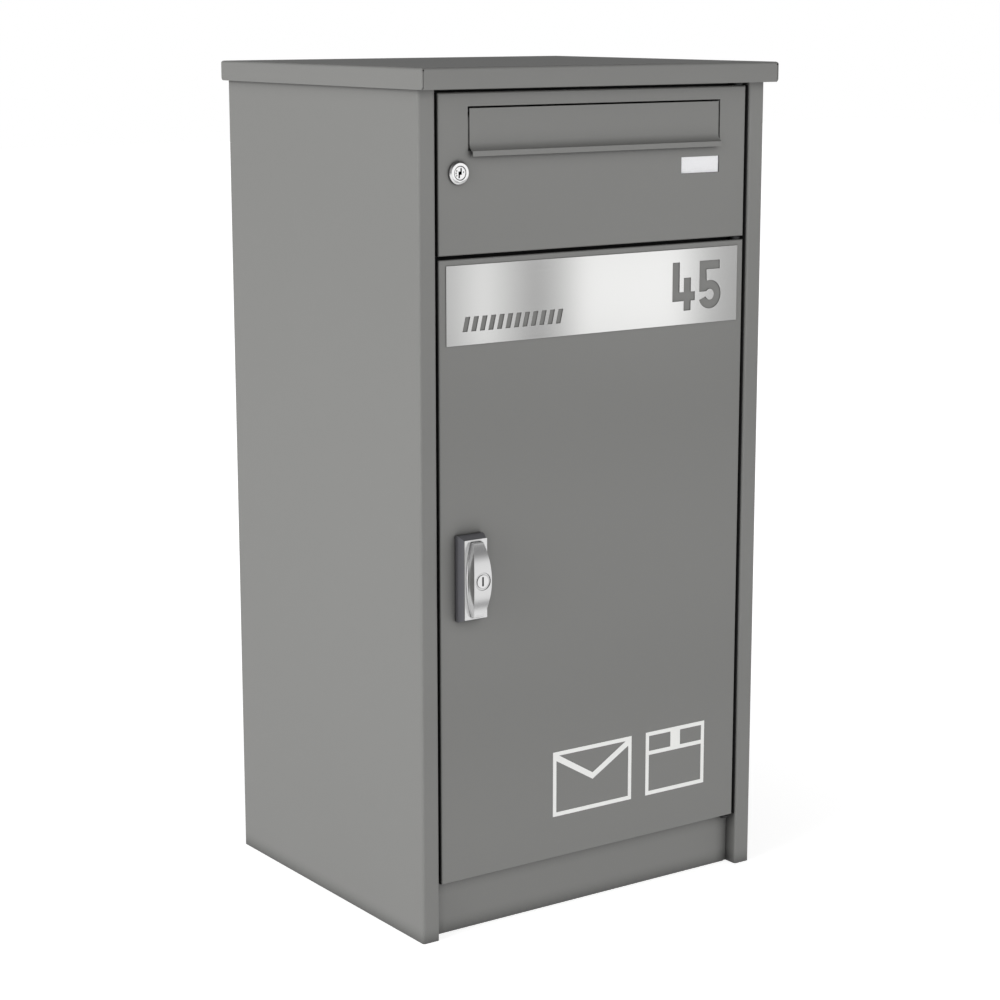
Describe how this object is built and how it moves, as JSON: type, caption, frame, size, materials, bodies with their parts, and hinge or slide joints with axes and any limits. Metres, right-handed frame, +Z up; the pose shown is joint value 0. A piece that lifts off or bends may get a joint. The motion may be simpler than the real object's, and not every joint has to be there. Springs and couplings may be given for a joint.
{
  "type": "letter and parcel mailbox cabinet",
  "caption": "Free-standing sheet-steel mailbox cabinet with a hinged letter door and flap above a lockable parcel door, under a folded hood.",
  "frame": {"origin": "on the ground under the middle of the cabinet's footprint, in the middle of the floor bolt pattern", "axes": "+Z up, +X to the right of a person facing the doors, the doors face -Y"},
  "size_m": [0.505, 0.4565, 1],
  "materials": {
    "grey_powder_coat": "semi-matt fine-textured powder coat",
    "zinc_plated_steel": "zinc plated",
    "black_steel": "black dip coat",
    "foam_rubber": "closed-cell foam",
    "nylon": "moulded",
    "brushed_stainless": "fine brushed",
    "bright_nickel": "bright nickel plate",
    "satin_chrome": "satin chrome plate",
    "dark_grey_zinc": "dark grey enamel on die-cast zinc",
    "clear_window": "clear acrylic",
    "white_card": "matt card",
    "grey_plastic": "moulded",
    "white_vinyl": "matt vinyl"
  },
  "bodies": {
    "cabinet": {"left_side_panel": "grey_powder_coat", "right_side_panel": "grey_powder_coat", "back_panel": "grey_powder_coat", "back_rivets": "zinc_plated_steel", "floor_panel": "grey_powder_coat", "letterbox_shelf": "grey_powder_coat", "floor_plugs": "nylon", "plinth": "grey_powder_coat", "top_rail": "grey_powder_coat", "anchor_angle_left": "zinc_plated_steel", "anchor_angle_right": "zinc_plated_steel", "hood": "grey_powder_coat", "hood_studs": "zinc_plated_steel", "hood_nuts": "zinc_plated_steel", "lower_door_seal": "foam_rubber", "upper_door_seal": "foam_rubber", "hinge_gap_trim": "foam_rubber", "lower_hinge_lug": "black_steel", "middle_hinge_lug": "black_steel", "upper_hinge_lug": "black_steel", "lower_hinge_pin": "black_steel", "middle_hinge_pin": "black_steel", "upper_hinge_pin": "black_steel"},
    "upper_door": {"upper_door_pan": "grey_powder_coat", "upper_door_bushes": "nylon", "flap_hinge_rod": "zinc_plated_steel", "flap_brackets": "grey_powder_coat", "slot_frame": "grey_powder_coat", "label_window": "clear_window", "label_card": "white_card", "label_holder": "grey_plastic", "upper_lock_housing": "bright_nickel", "upper_lock_nut": "zinc_plated_steel"},
    "letter_flap": {"letter_flap": "grey_powder_coat"},
    "upper_lock": {"upper_lock_plug": "bright_nickel", "upper_lock_cam": "zinc_plated_steel", "upper_cam_screw": "zinc_plated_steel"},
    "lower_door": {"lower_door_pan": "grey_powder_coat", "lower_door_bushes": "nylon", "door_stiffener": "grey_powder_coat", "number_plate": "brushed_stainless", "pictogram_decal": "white_vinyl", "handle_gasket": "foam_rubber", "handle_base": "dark_grey_zinc", "handle_face": "satin_chrome", "handle_screws": "zinc_plated_steel"},
    "handle": {"handle_bow": "satin_chrome", "handle_shaft": "zinc_plated_steel", "latch_cam": "zinc_plated_steel", "latch_nut": "zinc_plated_steel"},
    "handle_lock": {"handle_lock_plug": "bright_nickel"}
  },
  "joints": [
    {"name": "upper_door_hinge", "type": "hinge", "parent": "cabinet", "child": "upper_door", "pos_m": [0.2115, -0.2025, 0], "axis": [0, 0, 1], "range_deg": [0, 105]},
    {"name": "letter_flap_hinge", "type": "hinge", "parent": "upper_door", "child": "letter_flap", "pos_m": [0, -0.206, 0.9524], "axis": [-1, 0, 0], "range_deg": [0, 80]},
    {"name": "upper_lock_turn", "type": "hinge", "parent": "upper_door", "child": "upper_lock", "pos_m": [-0.193, -0.2095, 0.885], "axis": [0, 1, 0], "range_deg": [0, 90]},
    {"name": "lower_door_hinge", "type": "hinge", "parent": "cabinet", "child": "lower_door", "pos_m": [0.2115, -0.2025, 0], "axis": [0, 0, 1], "range_deg": [0, 105]},
    {"name": "handle_turn", "type": "hinge", "parent": "lower_door", "child": "handle", "pos_m": [-0.1816, -0.2095, 0.42835], "axis": [0, 1, 0], "range_deg": [0, 90]},
    {"name": "handle_lock_turn", "type": "hinge", "parent": "handle", "child": "handle_lock", "pos_m": [-0.1816, -0.2095, 0.42835], "axis": [0, 1, 0], "range_deg": [0, 90]}
  ]
}
